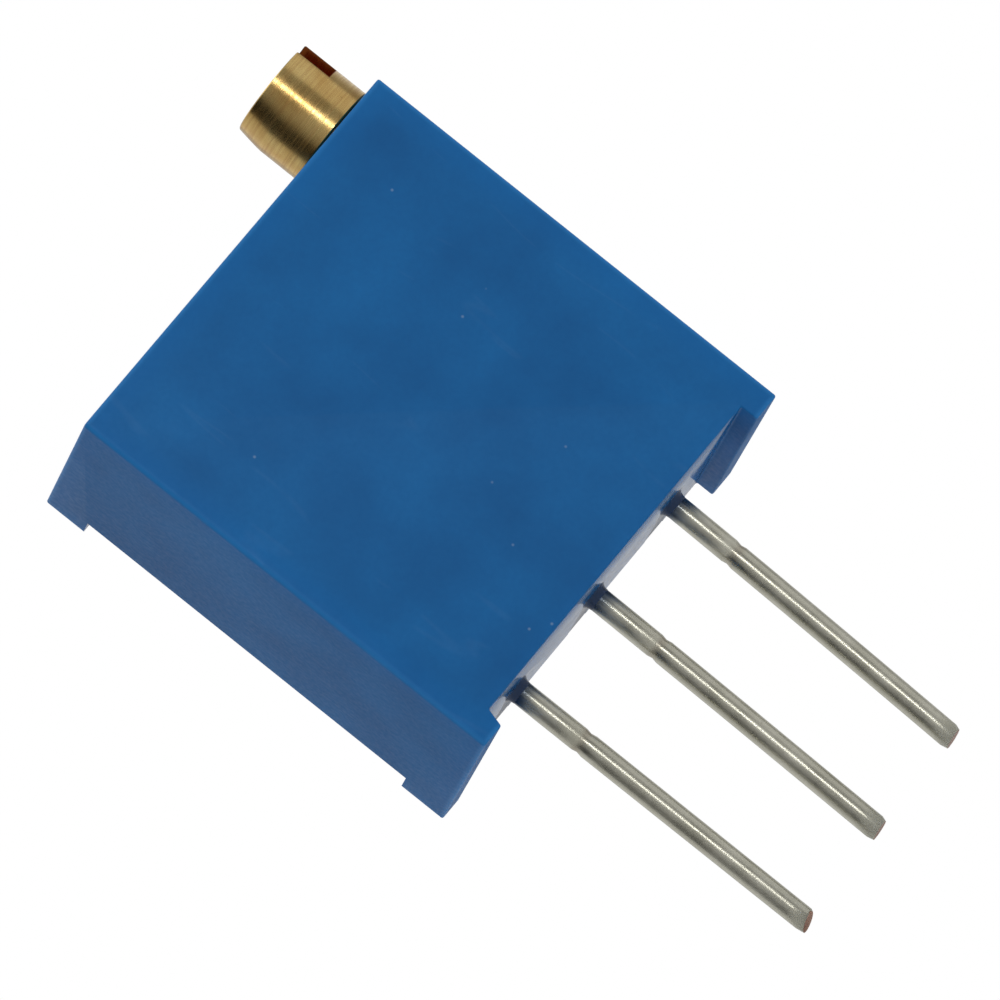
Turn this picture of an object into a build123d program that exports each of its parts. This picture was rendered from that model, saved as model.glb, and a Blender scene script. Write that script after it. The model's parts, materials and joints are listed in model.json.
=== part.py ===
"""Sealed multi-turn trimmer potentiometer, 3/8 inch square, with three wire pins in a line.

A brass screw on the top face carries a worm. The worm drives a toothed wheel inside the moulded
housing, and the wheel carries a spring wiper round a horseshoe track printed on a ceramic plate.
The plate goes in from the back with its pins soldered on, and epoxy seals it there.

All sizes are in millimetres. The origin is on the middle pin's axis, at the height of the feet
that stand on the circuit board. +Z is up, towards the screw, and the flat front faces -Y.
"""

import os
from math import cos, pi, radians, sin

from build123d import *

os.makedirs("parts", exist_ok=True)

# Housing, outside
body_width = 9.53
body_thickness = 4.83  # from the front face to the back pads
body_height = 10.03  # from the feet to the top face
edge_radius = 0.08
foot_height = 0.40
left_foot_tip = 0.55
left_foot_root = 0.66  # the left foot leans out on its inner side
right_foot_width = 0.64
pad_depth = 0.54  # how far the back pads stand proud
pad_width = 1.20
top_pad_height = 0.95
bottom_pad_height = 1.04

# Housing, inside
front_wall = 0.55
side_wall = 0.60
top_wall = 0.93
floor_thickness = 0.55
ledge = 0.16  # the step that the ceramic plate sits on

# Pins
pin_radius = 0.255
pin_pitch = 2.54
pin_reach = {"left_pin": 7.03, "middle_pin": 6.92, "right_pin": 6.90}  # below the feet
pin_root = 1.55  # from the body's underside up to the pin's inner end
pin_bevel = 0.04
tab_start = 0.15  # above the body's underside, where the wire is pressed flat
tab_half_width = 0.28
tab_front = 0.10  # from the wire's axis forward
notch_clearance = 0.04

# Ceramic plate and what is printed on it
plate_thickness = 0.64
plate_clearance = 0.05
print_thickness = 0.02
print_width = 0.60
track_inset = 0.47  # from the root of the wheel's teeth in to the track's middle
collector_inset = 0.90  # from the track's middle in to the collector's
track_gap = 60.0  # degrees of the circle, at the bottom, with no track
solder_height = 0.40
solder_half_width = 0.42
solder_half_length = 0.46
solder_bevel = 0.12
solder_room = 0.15  # free space kept round a solder joint

# Epoxy behind the plate
potting_sink = 0.10  # how far its surface lies below the recessed back

# Worm and wheel
wheel_teeth = 30
rim_clearance = 0.13  # between the wheel's teeth and the chamber's walls
worm_pitch_radius = 0.62
worm_clearance = 0.053  # between the thread's crest and its bore
wheel_thickness = 0.70
worm_thread_width = 0.26  # at the pitch line
wheel_tooth_width = 0.22
flank_slope = 0.36  # tangent of the flank angle
embed = 0.06  # how far a tooth's root is sunk in its rim
dedendum_factor = 1.25
thread_turns = 5  # an odd number puts a crest at the height of the wheel's axis
worm_end_gap = 0.575  # from the floor of the worm's chamber up to its core
neck_length = 0.695  # from the top of the core up to the retainer's groove
running_clearance = 0.03
wheel_play = 0.05  # along the wheel's axis

# Wheel's hub, post and stops
post_radius = 0.80
hub_radius = 1.45
hub_length = 1.05
stop_height = 0.20
stop_inset = 0.12  # from the root of the wheel's teeth in to the lug
stop_length = 0.60
stop_clearance = 0.04
wheel_lug_width = 0.60
stud_radius = 0.16
stud_spacing = 2.30

# Wiper
sheet = 0.10
finger_width = 0.18
finger_pitch = 0.25
fingers = 3
contact_radius = 0.12
contact_gap = 0.02
wiper_outer_radius = 1.42
stud_clearance = 0.02

# Adjustment screw
screw_side_offset = 1.15  # from the right side and from the front face
head_radius = 1.09
head_height = 1.58  # above the top face
head_taper = 0.08
head_taper_height = 0.55
head_gap = 0.03
slot_width = 0.56
slot_depth = 0.80
slot_angle = -41.0
journal_clearance = 0.04
neck_radius = 0.50
pivot_radius = 0.28
pivot_depth = 0.60
shoulder_length = 0.20
worm_chamber_floor = 2.00

# Seal and retainer on the screw
land_length = 0.50
seal_groove_length = 0.46
seal_clearance = 0.01
retainer_thickness = 0.25
retainer_play = 0.05
retainer_inset = 0.06  # from the bore's wall in to the plate's side
retainer_seat = 0.15  # plastic left under its slot
retainer_reach = 0.70  # past the screw's axis, towards the front

# Plastic left round the screw's bore, on the side of the wheel
screw_wall = 0.40

# Places that follow from the sizes above
half_width = body_width / 2
front_face = -body_thickness / 2
back_face = body_thickness / 2
recessed_back = back_face - pad_depth
chamber_front = front_face + front_wall
chamber_side = half_width - side_wall
chamber_floor = foot_height + floor_thickness
chamber_ceiling = body_height - top_wall
plate_front = pin_radius  # the pins lie along the plate's front face
print_front = plate_front - print_thickness
plate_back = plate_front + plate_thickness

screw_x = half_width - screw_side_offset
screw_y = front_face + screw_side_offset
chamber_height = chamber_ceiling - chamber_floor
wheel_height = (chamber_floor + chamber_ceiling) / 2

# the wheel is as large as its chamber and the worm beside it allow
module = min(
    (screw_x - worm_pitch_radius + chamber_side - rim_clearance) / (wheel_teeth + 1),
    (chamber_height - 2 * rim_clearance) / (wheel_teeth + 2),
)
addendum = module
dedendum = dedendum_factor * module
wheel_pitch_radius = module * wheel_teeth / 2
axial_pitch = pi * module
wheel_x = screw_x - worm_pitch_radius - wheel_pitch_radius
wheel_tip = wheel_pitch_radius + addendum
wheel_root = wheel_pitch_radius - dedendum
worm_tip = worm_pitch_radius + addendum
worm_root = worm_pitch_radius - dedendum
screw_bore = worm_tip + worm_clearance
journal_radius = screw_bore - journal_clearance
track_radius = wheel_root - track_inset
collector_radius = track_radius - collector_inset
stop_outer_radius = wheel_root - stop_inset
stop_inner_radius = stop_outer_radius - stop_length
stop_rib_width = 2 * (
    stop_inner_radius * sin(radians(track_gap / 2))
    - wheel_lug_width / 2 * cos(radians(track_gap / 2))
    - stop_clearance
)
rim_front = screw_y - wheel_thickness / 2
rim_back = screw_y + wheel_thickness / 2
hub_front = chamber_front + wheel_play
hub_back = hub_front + hub_length
wiper_back = hub_back + sheet

# Heights along the screw, from the top face down
seal_top = body_height - land_length
seal_bottom = seal_top - seal_groove_length
groove_top = seal_bottom - land_length
groove_bottom = groove_top - retainer_thickness - 3 * retainer_play
retainer_middle = (groove_top + groove_bottom) / 2
block_bottom = groove_bottom - retainer_seat
block_left = screw_x - screw_bore - screw_wall
retainer_half_width = screw_bore - retainer_inset
worm_low = worm_chamber_floor + worm_end_gap
worm_high = groove_bottom - neck_length
pivot_end = worm_chamber_floor - pivot_depth

pin_places = {"left_pin": -pin_pitch, "middle_pin": 0.0, "right_pin": pin_pitch}
pin_top = foot_height + pin_root
notch_half = pin_radius + notch_clearance


def at_depth(y):
    """The upright plane at depth y, drawn as it is seen from the front."""
    return Plane.XZ.offset(-y)


def around_wheel(y):
    """The same plane, centred on the wheel's axis."""
    return Plane(origin=(wheel_x, y, wheel_height), x_dir=(1, 0, 0), z_dir=(0, -1, 0))


def across_screw(z):
    """The level plane at height z, centred on the screw's axis."""
    return Plane(origin=(screw_x, screw_y, z), x_dir=(1, 0, 0), z_dir=(0, 0, 1))


def panel(left, right, low, high):
    """A rectangle from its four limits."""
    with Locations(((left + right) / 2, (low + high) / 2)):
        Rectangle(right - left, high - low)


def on_wheel(radius, angle):
    """A point of the plane seen from the front, by its place round the wheel's axis."""
    return (
        wheel_x + radius * cos(radians(angle)),
        wheel_height + radius * sin(radians(angle)),
    )


# ---------------------------------------------------------------- housing
with BuildPart() as housing:
    with BuildSketch(at_depth(back_face)):
        with BuildLine():
            Polyline(
                (-half_width, 0),
                (-half_width + left_foot_tip, 0),
                (-half_width + left_foot_root, foot_height),
                (half_width - right_foot_width, foot_height),
                (half_width - right_foot_width, 0),
                (half_width, 0),
                (half_width, body_height),
                (-half_width, body_height),
                close=True,
            )
        make_face()
    extrude(amount=body_thickness)
    fillet(housing.edges(), edge_radius)

    # the back is recessed between four corner pads
    with BuildSketch(at_depth(back_face)):
        panel(-body_width, body_width, bottom_pad_height, body_height - top_pad_height)
        panel(pad_width - half_width, half_width - pad_width, foot_height - 1, body_height + 1)
    extrude(amount=pad_depth, mode=Mode.SUBTRACT)

    # pocket for the plate and its epoxy
    with BuildSketch(at_depth(recessed_back)):
        panel(
            -chamber_side - ledge,
            chamber_side + ledge,
            chamber_floor - ledge,
            chamber_ceiling + ledge,
        )
    extrude(amount=recessed_back - plate_front, mode=Mode.SUBTRACT)

    # wheel chamber, with a window to the worm
    with BuildSketch(at_depth(plate_front)):
        panel(-chamber_side, block_left, chamber_floor, chamber_ceiling)
        panel(block_left - 1, screw_x, worm_chamber_floor, block_bottom)
    extrude(amount=plate_front - chamber_front, mode=Mode.SUBTRACT)

    # room for the right pin and its solder, under the worm's window
    with BuildSketch(at_depth(plate_front)):
        pocket_right = pin_pitch + solder_half_width + solder_room
        panel(block_left - 1, pocket_right, chamber_floor, worm_chamber_floor)
    extrude(amount=plate_front + pin_radius + solder_room, mode=Mode.SUBTRACT)

    # bore for the screw, and the blind hole for its lower pivot
    with BuildSketch(across_screw(worm_chamber_floor)):
        Circle(screw_bore)
    extrude(amount=body_height - worm_chamber_floor + 1, mode=Mode.SUBTRACT)
    with BuildSketch(across_screw(pivot_end - running_clearance)):
        Circle(pivot_radius + running_clearance)
    extrude(amount=worm_chamber_floor - pivot_end + 0.5, mode=Mode.SUBTRACT)

    # slot that the retainer slides into
    with BuildSketch(across_screw(retainer_middle)):
        reach_back = plate_front - screw_y
        panel(
            -retainer_half_width - retainer_play,
            retainer_half_width + retainer_play,
            -retainer_reach - retainer_play,
            reach_back,
        )
    extrude(amount=retainer_thickness / 2 + retainer_play / 2, both=True, mode=Mode.SUBTRACT)

    # notches that let the soldered pins in from the back
    with BuildSketch(Plane.XY.offset(foot_height)):
        for pin_x in pin_places.values():
            panel(pin_x - notch_half, pin_x + notch_half, -notch_half, recessed_back)
    extrude(amount=floor_thickness, mode=Mode.SUBTRACT)

    # post that the wheel turns on, and the rib that stops it
    with BuildSketch(around_wheel(hub_back - wheel_play)):
        Circle(post_radius)
    extrude(amount=hub_back - wheel_play - chamber_front)
    with BuildSketch(around_wheel(chamber_front + stop_height)):
        panel(-stop_rib_width / 2, stop_rib_width / 2, -stop_outer_radius, -stop_inner_radius)
    extrude(amount=stop_height)
housing.part.label = "housing"

# ---------------------------------------------------------------- adjustment screw
with BuildPart() as adjustment_screw:
    with BuildSketch(Plane(origin=(screw_x, screw_y, 0), x_dir=(1, 0, 0), z_dir=(0, -1, 0))):
        with BuildLine():
            Polyline(
                (0, pivot_end),
                (pivot_radius, pivot_end),
                (pivot_radius, worm_low),
                (worm_root, worm_low),
                (worm_root, worm_high),
                (neck_radius, worm_high),
                (neck_radius, groove_top),
                (journal_radius, groove_top),
                (journal_radius, seal_bottom),
                (neck_radius, seal_bottom),
                (neck_radius, seal_top),
                (journal_radius, seal_top),
                (journal_radius, body_height + head_gap),
                (head_radius, body_height + head_gap),
                (head_radius, body_height + head_height - head_taper_height),
                (head_radius - head_taper, body_height + head_height),
                (0, body_height + head_height),
                close=True,
            )
        make_face()
    revolve(axis=Axis((screw_x, screw_y, 0), (0, 0, 1)))

    # shoulder under the retainer, so that the screw can't lift
    with BuildSketch(across_screw(groove_bottom)):
        Circle(journal_radius)
    extrude(amount=-shoulder_length)

    # driver slot across the head
    slot_direction = (cos(radians(slot_angle)), sin(radians(slot_angle)), 0)
    with BuildSketch(
        Plane(
            origin=(screw_x, screw_y, body_height + head_height),
            x_dir=slot_direction,
            z_dir=(0, 0, 1),
        )
    ):
        Rectangle(3 * head_radius, slot_width)
    extrude(amount=-slot_depth, mode=Mode.SUBTRACT)

    # worm: one right-hand thread, as far above the wheel's axis as below it
    worm_start = wheel_height - axial_pitch * thread_turns / 2
    with BuildLine(across_screw(worm_start)) as worm_path:
        Helix(pitch=axial_pitch, height=axial_pitch * thread_turns, radius=worm_pitch_radius)
    root_half = worm_thread_width / 2 + flank_slope * (dedendum + embed)
    tip_half = worm_thread_width / 2 - flank_slope * addendum
    with BuildSketch(
        Plane(origin=worm_path.line @ 0, x_dir=(1, 0, 0), z_dir=worm_path.line % 0)
    ):
        with BuildLine():
            Polyline(
                (-dedendum - embed, -root_half),
                (addendum, -tip_half),
                (addendum, tip_half),
                (-dedendum - embed, root_half),
                close=True,
            )
        make_face()
    sweep(path=worm_path.line, is_frenet=True)
adjustment_screw.part.label = "adjustment_screw"

# ---------------------------------------------------------------- seal and retainer
with BuildPart() as screw_seal:
    seal_height = (seal_top + seal_bottom) / 2
    with BuildSketch(Plane(origin=(screw_x, screw_y, 0), x_dir=(1, 0, 0), z_dir=(0, -1, 0))):
        with Locations(((neck_radius + screw_bore) / 2, seal_height)):
            Circle((screw_bore - neck_radius) / 2 - seal_clearance)
    revolve(axis=Axis((screw_x, screw_y, 0), (0, 0, 1)))
screw_seal.part.label = "screw_seal"

with BuildPart() as screw_retainer:
    with BuildSketch(across_screw(retainer_middle - retainer_thickness / 2)):
        panel(
            -retainer_half_width,
            retainer_half_width,
            -retainer_reach,
            plate_front - screw_y - retainer_play,
        )
        Circle(neck_radius + running_clearance, mode=Mode.SUBTRACT)
        with Locations((0, -retainer_reach)):
            Rectangle(
                2 * (neck_radius + running_clearance), 2 * retainer_reach, mode=Mode.SUBTRACT
            )
    extrude(amount=retainer_thickness)
screw_retainer.part.label = "screw_retainer"

# ---------------------------------------------------------------- worm wheel
with BuildPart() as worm_wheel:
    with BuildSketch(around_wheel(rim_back)):
        Circle(wheel_root)
        root_half = wheel_tooth_width / 2 + flank_slope * (dedendum + embed)
        tip_half = wheel_tooth_width / 2 - flank_slope * addendum
        with PolarLocations(wheel_pitch_radius, wheel_teeth, start_angle=180 / wheel_teeth):
            Polygon(
                (-dedendum - embed, -root_half),
                (addendum, -tip_half),
                (addendum, tip_half),
                (-dedendum - embed, root_half),
                align=None,
            )
    extrude(amount=wheel_thickness)
    with BuildSketch(around_wheel(hub_back)):
        Circle(hub_radius)
    extrude(amount=hub_length)
    with BuildSketch(around_wheel(rim_front)):
        panel(-wheel_lug_width / 2, wheel_lug_width / 2, stop_inner_radius, stop_outer_radius)
    extrude(amount=stop_height)
    with BuildSketch(around_wheel(hub_back + sheet + stud_clearance)):
        with GridLocations(stud_spacing, 0, 2, 1):
            Circle(stud_radius)
    extrude(amount=2 * sheet)
    with BuildSketch(around_wheel(hub_back)):
        Circle(post_radius + running_clearance)
    extrude(amount=hub_length, mode=Mode.SUBTRACT)
worm_wheel.part.label = "worm_wheel"

# ---------------------------------------------------------------- wiper spring
contact_y = print_front - contact_gap - contact_radius
comb = [(place - (fingers - 1) / 2) * finger_pitch for place in range(fingers)]
with BuildPart() as wiper_spring:
    with BuildSketch(around_wheel(wiper_back)):
        Circle(wiper_outer_radius)
        Circle(post_radius + running_clearance, mode=Mode.SUBTRACT)
        with GridLocations(stud_spacing, 0, 2, 1):
            Circle(stud_radius + stud_clearance, mode=Mode.SUBTRACT)
    extrude(amount=sheet)
    # sprung fingers: three reach up to the track, three down to the collector
    for direction, reach in ((1, track_radius), (-1, collector_radius)):
        for place in comb:
            with BuildSketch(Plane.YZ.offset(wheel_x + place)):
                with BuildLine():
                    Polyline(
                        (hub_back + sheet / 2, wheel_height + direction * 1.0),
                        (contact_y, wheel_height + direction * reach),
                    )
                trace(line_width=sheet)
                with Locations((contact_y, wheel_height + direction * reach)):
                    Circle(contact_radius)
            extrude(amount=finger_width / 2, both=True)
wiper_spring.part.label = "wiper_spring"

# ---------------------------------------------------------------- ceramic plate and its prints
with BuildPart() as ceramic_plate:
    with BuildSketch(at_depth(plate_back)):
        panel(
            -chamber_side - ledge + plate_clearance,
            chamber_side + ledge - plate_clearance,
            chamber_floor - ledge + plate_clearance,
            chamber_ceiling + ledge - plate_clearance,
        )
    extrude(amount=plate_thickness)
ceramic_plate.part.label = "ceramic_plate"

track_inner = track_radius - print_width / 2
track_outer = track_radius + print_width / 2
with BuildPart() as resistive_track:
    with BuildSketch(at_depth(plate_front)):
        with BuildLine():
            start = track_gap / 2 - 90
            sweep_angle = 360 - track_gap
            outer = CenterArc((wheel_x, wheel_height), track_outer, start, sweep_angle)
            inner = CenterArc((wheel_x, wheel_height), track_inner, start, sweep_angle)
            Line(outer @ 0, inner @ 0)
            Line(outer @ 1, inner @ 1)
        make_face()
    extrude(amount=print_thickness)
resistive_track.part.label = "resistive_track"

pad_half = solder_half_width + 0.03
pad_low = chamber_floor
pad_high = pin_top + 0.05
with BuildPart() as collector_print:
    with BuildSketch(around_wheel(plate_front)):
        Circle(collector_radius + print_width / 2)
        Circle(collector_radius - print_width / 2, mode=Mode.SUBTRACT)
    extrude(amount=print_thickness)
    with BuildSketch(at_depth(plate_front)):
        Polygon(
            (wheel_x - print_width / 2, wheel_height - collector_radius),
            (wheel_x + print_width / 2, wheel_height - collector_radius),
            (pad_half, pad_high),
            (pad_half, pad_low),
            (-pad_half, pad_low),
            (-pad_half, pad_high),
            align=None,
        )
    extrude(amount=print_thickness)
collector_print.part.label = "collector_print"

lead_width = 10.0  # degrees of the track's circle that each end print takes
end_prints = {}
for side, name in ((-1, "left_end_print"), (1, "right_end_print")):
    end_angle = side * track_gap / 2 - 90
    lead_angle = end_angle - side * lead_width
    pin_x = side * pin_pitch
    with BuildPart() as end_print:
        with BuildSketch(at_depth(plate_front)):
            Polygon(
                on_wheel(track_outer, end_angle),
                on_wheel(track_inner, end_angle),
                on_wheel(track_inner, lead_angle),
                on_wheel(track_outer, lead_angle),
                (pin_x - side * pad_half, pad_high - 0.3),
                (pin_x - side * pad_half, pad_low),
                (pin_x + side * pad_half, pad_low),
                (pin_x + side * pad_half, pad_high),
                align=None,
            )
        extrude(amount=print_thickness)
    end_print.part.label = name
    end_prints[name] = end_print

# ---------------------------------------------------------------- pins and solder
pins = {}
for name, pin_x in pin_places.items():
    with BuildPart() as pin:
        with BuildSketch(Plane.XY.offset(-pin_reach[name])):
            with Locations((pin_x, 0)):
                Circle(pin_radius)
        extrude(amount=pin_reach[name] + foot_height + tab_start)
        chamfer(pin.edges().group_by(Axis.Z)[0], pin_bevel)
        # inside the housing the wire is pressed flat, to be soldered to the plate
        with BuildSketch(at_depth(print_front)):
            panel(
                pin_x - tab_half_width, pin_x + tab_half_width, foot_height + tab_start, pin_top
            )
        extrude(amount=print_front + tab_front)
    pin.part.label = name
    pins[name] = pin

solder_joints = {}
for name, pin_x in pin_places.items():
    with BuildPart() as solder:
        with BuildSketch(at_depth(print_front)):
            with Locations((pin_x, (chamber_floor + pin_top) / 2)):
                RectangleRounded(2 * solder_half_width, 2 * solder_half_length, solder_bevel)
        extrude(amount=solder_height)
        chamfer(solder.edges().group_by(Axis.Y)[0], solder_bevel)
        add(pins[name].part, mode=Mode.SUBTRACT)
    solder.part.label = name.replace("_pin", "_solder_joint")
    solder_joints[solder.part.label] = solder

# ---------------------------------------------------------------- epoxy
with BuildPart() as epoxy_seal:
    with BuildSketch(at_depth(recessed_back - potting_sink)):
        panel(
            -chamber_side - ledge,
            chamber_side + ledge,
            chamber_floor - ledge,
            chamber_ceiling + ledge,
        )
    extrude(amount=recessed_back - potting_sink - plate_back)
    with BuildSketch(Plane.XY.offset(foot_height)):
        for pin_x in pin_places.values():
            panel(
                pin_x - notch_half, pin_x + notch_half, -notch_half, recessed_back - potting_sink
            )
    extrude(amount=floor_thickness)
    add(ceramic_plate.part, mode=Mode.SUBTRACT)
    for pin in pins.values():
        add(pin.part, mode=Mode.SUBTRACT)
epoxy_seal.part.label = "epoxy_seal"

# ---------------------------------------------------------------- write one file for each piece
pieces = [
    housing,
    adjustment_screw,
    screw_seal,
    screw_retainer,
    worm_wheel,
    wiper_spring,
    ceramic_plate,
    resistive_track,
    collector_print,
    epoxy_seal,
    *end_prints.values(),
    *pins.values(),
    *solder_joints.values(),
]
for piece in pieces:
    export_step(piece.part, f"parts/{piece.part.label}.step")
    print(piece.part.label, round(piece.part.volume, 4), piece.part.is_valid)
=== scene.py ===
# %% [markdown]
# # A sealed multi-turn trimmer potentiometer
# The real object is small, 9.5 mm wide, and made of few visible materials: a moulded blue
# housing, a turned brass screw, three tinned wires and the dark epoxy that closes the back.
# The frame already holds every piece at its real size and place. This file gives the pieces
# that can be seen a finer shape, and gives every piece its finish.

# %% Load the frame
import json
import math

import bpy
from mathutils import Matrix, Vector

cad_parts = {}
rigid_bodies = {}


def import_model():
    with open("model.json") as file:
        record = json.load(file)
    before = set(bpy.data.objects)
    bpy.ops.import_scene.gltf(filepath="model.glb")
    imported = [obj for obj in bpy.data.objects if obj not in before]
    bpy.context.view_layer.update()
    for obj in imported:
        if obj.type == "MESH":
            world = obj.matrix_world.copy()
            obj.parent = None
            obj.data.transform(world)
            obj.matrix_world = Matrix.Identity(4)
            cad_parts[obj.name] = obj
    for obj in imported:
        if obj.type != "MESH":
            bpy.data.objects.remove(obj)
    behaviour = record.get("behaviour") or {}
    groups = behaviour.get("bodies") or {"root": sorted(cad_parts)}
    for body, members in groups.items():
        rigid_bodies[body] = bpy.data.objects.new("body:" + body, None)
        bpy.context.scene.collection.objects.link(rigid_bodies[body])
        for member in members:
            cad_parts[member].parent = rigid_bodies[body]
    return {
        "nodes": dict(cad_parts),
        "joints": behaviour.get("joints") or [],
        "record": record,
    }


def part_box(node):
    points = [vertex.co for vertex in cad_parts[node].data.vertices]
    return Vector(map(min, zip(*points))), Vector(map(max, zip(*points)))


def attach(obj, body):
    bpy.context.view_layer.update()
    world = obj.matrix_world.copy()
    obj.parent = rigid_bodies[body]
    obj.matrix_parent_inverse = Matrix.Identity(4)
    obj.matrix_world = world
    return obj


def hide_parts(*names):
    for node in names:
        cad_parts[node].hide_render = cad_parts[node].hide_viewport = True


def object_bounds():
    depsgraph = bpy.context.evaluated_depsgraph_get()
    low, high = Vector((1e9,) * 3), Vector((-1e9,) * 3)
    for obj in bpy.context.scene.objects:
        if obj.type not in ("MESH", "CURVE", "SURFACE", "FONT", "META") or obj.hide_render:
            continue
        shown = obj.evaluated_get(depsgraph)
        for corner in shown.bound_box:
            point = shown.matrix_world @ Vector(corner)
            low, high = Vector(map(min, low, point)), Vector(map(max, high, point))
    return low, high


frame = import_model()
cad_box = [list(corner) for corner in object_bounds()]
mm = 0.001
print("nodes in the frame:", sorted(frame["nodes"]))

# %% [markdown]
# ## Sizes
# Overall sizes are read from the frame, so the looks follow the construction. A few sizes that
# a box can't tell, such as the driver slot's, are repeated here from the construction.

# %% Sizes read from the frame
case_low, case_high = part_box("housing")
epoxy_low, epoxy_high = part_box("epoxy_seal")
plate_low, plate_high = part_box("ceramic_plate")
screw_low, screw_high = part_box("adjustment_screw")
screw_joint = next(j for j in frame["joints"] if j["name"] == "screw_turn")
wheel_joint = next(j for j in frame["joints"] if j["name"] == "wiper_turn")
screw_axis = Vector((screw_joint["pos_m"][0], screw_joint["pos_m"][1], 0))
wheel_centre = Vector(wheel_joint["pos_m"])
head_radius = (screw_high.x - screw_low.x) / 2
print("housing", [round(v / mm, 2) for v in (case_high - case_low)], "mm")
print("screw head radius", round(head_radius / mm, 3), "mm")

# %% Sizes repeated from the construction
foot_height = 0.40 * mm
left_foot_tip = 0.55 * mm
left_foot_root = 0.66 * mm
right_foot_width = 0.64 * mm
pad_depth = 0.54 * mm
pad_width = 1.20 * mm
top_pad_height = 0.95 * mm
bottom_pad_height = 1.04 * mm
edge_radius = 0.045 * mm
soft_edge_radius = 0.11 * mm
front_wall = 0.55 * mm
side_wall = 0.60 * mm
chamber_floor = 0.95 * mm
chamber_ceiling = 9.10 * mm
ledge = 0.16 * mm
screw_bore = 0.8998 * mm
notch_half = 0.295 * mm
pin_radius = 0.255 * mm
tab_height = 0.55 * mm
tab_back = plate_low.y - 0.02 * mm
body_back = case_high.y - pad_depth
chamber_front = case_low.y + front_wall
block_left = screw_axis.x - 1.30 * mm
worm_chamber_floor = 2.00 * mm
block_bottom = 7.97 * mm

# %% [markdown]
# ## Small helpers
# Every piece starts as a primitive that is added at its size and place. Faces, edges and
# points are then picked by where they lie, in code, as a hand would click on them.


# %% Picking parts of a mesh
def deselect_all():
    if bpy.context.object and bpy.context.object.mode != "OBJECT":
        bpy.ops.object.mode_set(mode="OBJECT")
    bpy.ops.object.select_all(action="DESELECT")


def make_active(piece):
    deselect_all()
    piece.select_set(True)
    bpy.context.view_layer.objects.active = piece


def open_edit(piece, what):
    """Opens a piece in edit mode with nothing picked."""
    make_active(piece)
    bpy.ops.object.mode_set(mode="EDIT")
    bpy.ops.mesh.select_mode(type=what)
    bpy.ops.mesh.select_all(action="DESELECT")


def pick_points(piece, test):
    """Opens edit mode with the points that pass the test picked."""
    open_edit(piece, "VERT")
    bpy.ops.object.mode_set(mode="OBJECT")
    for point in piece.data.vertices:
        point.select = bool(test(point.co))
    bpy.ops.object.mode_set(mode="EDIT")


def pick_faces(piece, test):
    """Opens edit mode with the faces whose centre and normal pass the test picked."""
    open_edit(piece, "FACE")
    bpy.ops.object.mode_set(mode="OBJECT")
    for face in piece.data.polygons:
        face.select = bool(test(face.center, face.normal))
    bpy.ops.object.mode_set(mode="EDIT")


def done(piece):
    bpy.ops.object.mode_set(mode="OBJECT")
    return piece


# %% Blocks and bars at their place
def settle(piece, name):
    """Names a piece and moves its place into its mesh."""
    make_active(piece)
    bpy.ops.object.transform_apply(location=True, rotation=True, scale=True)
    piece.name = name
    piece.data.name = name
    return piece


def block(name, low, high):
    """A box between two corners."""
    low, high = Vector(low), Vector(high)
    deselect_all()
    bpy.ops.mesh.primitive_cube_add(size=1, location=(low + high) / 2)
    piece = bpy.context.object
    piece.scale = high - low
    return settle(piece, name)


def bar(name, centre, radius, bottom, top, sides=64):
    """An upright round bar."""
    deselect_all()
    bpy.ops.mesh.primitive_cylinder_add(
        vertices=sides,
        radius=radius,
        depth=top - bottom,
        location=(centre[0], centre[1], (bottom + top) / 2),
    )
    return settle(bpy.context.object, name)


# %% Modifiers, applied at once
def apply_modifier(piece, kind, **settings):
    make_active(piece)
    modifier = piece.modifiers.new(kind.title(), kind)
    for key, value in settings.items():
        setattr(modifier, key, value)
    bpy.ops.object.modifier_apply(modifier=modifier.name)
    return piece


def cut(piece, *cutters, operation="DIFFERENCE"):
    """Takes the cutters away from a piece, or adds them to it, and drops the cutters."""
    for cutter in cutters:
        apply_modifier(piece, "BOOLEAN", operation=operation, solver="EXACT", object=cutter)
        bpy.data.objects.remove(cutter)
    return piece


def round_edges(piece, radius, segments=3, angle=40):
    return apply_modifier(
        piece,
        "BEVEL",
        width=radius,
        segments=segments,
        limit_method="ANGLE",
        angle_limit=math.radians(angle),
    )


def smooth(piece, angle=30):
    make_active(piece)
    bpy.ops.object.shade_smooth_by_angle(angle=math.radians(angle))


def tidy(piece):
    """Merges doubled points and turns every face outwards."""
    open_edit(piece, "VERT")
    bpy.ops.mesh.select_all(action="SELECT")
    bpy.ops.mesh.remove_doubles(threshold=0.0005 * mm)
    bpy.ops.mesh.normals_make_consistent(inside=False)
    return done(piece)


def dress(piece, body, slot, *nodes):
    """Hangs a finished piece on the body it rides on and hides the frame's nodes it stands for. The slot is not used.
    """
    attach(piece, body)
    if nodes:
        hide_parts(*nodes)
    print(piece.name, len(piece.data.polygons), "faces")


# %% [markdown]
# ## Housing
# The real housing is one thermoplastic moulding: a square box with two feet below, four pads at
# the back and a round bore for the screw. It could be extruded face by face, but a mould is made
# by cutting, and cutting here gives the same soft outer edges and sharp pocket edges. So the
# outer block is cut and rounded first, and the pockets are cut after that.

# %% Housing: outer block with its feet
housing = block("moulded_housing", case_low, case_high)
under = block(
    "under_cutter",
    (case_low.x + left_foot_root, case_low.y - mm, case_low.z - mm),
    (case_high.x - right_foot_width, case_high.y + mm, foot_height),
)
# the left foot leans, so this side of the cutter moves out at its lower end
lean = (left_foot_root - left_foot_tip) / foot_height
pick_points(under, lambda p: p.x < 0 and p.z < 0)
bpy.ops.transform.translate(value=(-lean * (foot_height + mm), 0, 0))
done(under)
cut(housing, under)
housing.data.name = "moulded_housing"


def along_front_left(a, b):
    """The upright front edge on the left, which the mould left softer than the others."""
    return all(abs(p.x - case_low.x) < 0.01 * mm and abs(p.y - case_low.y) < 0.01 * mm for p in (a, b))


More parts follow.
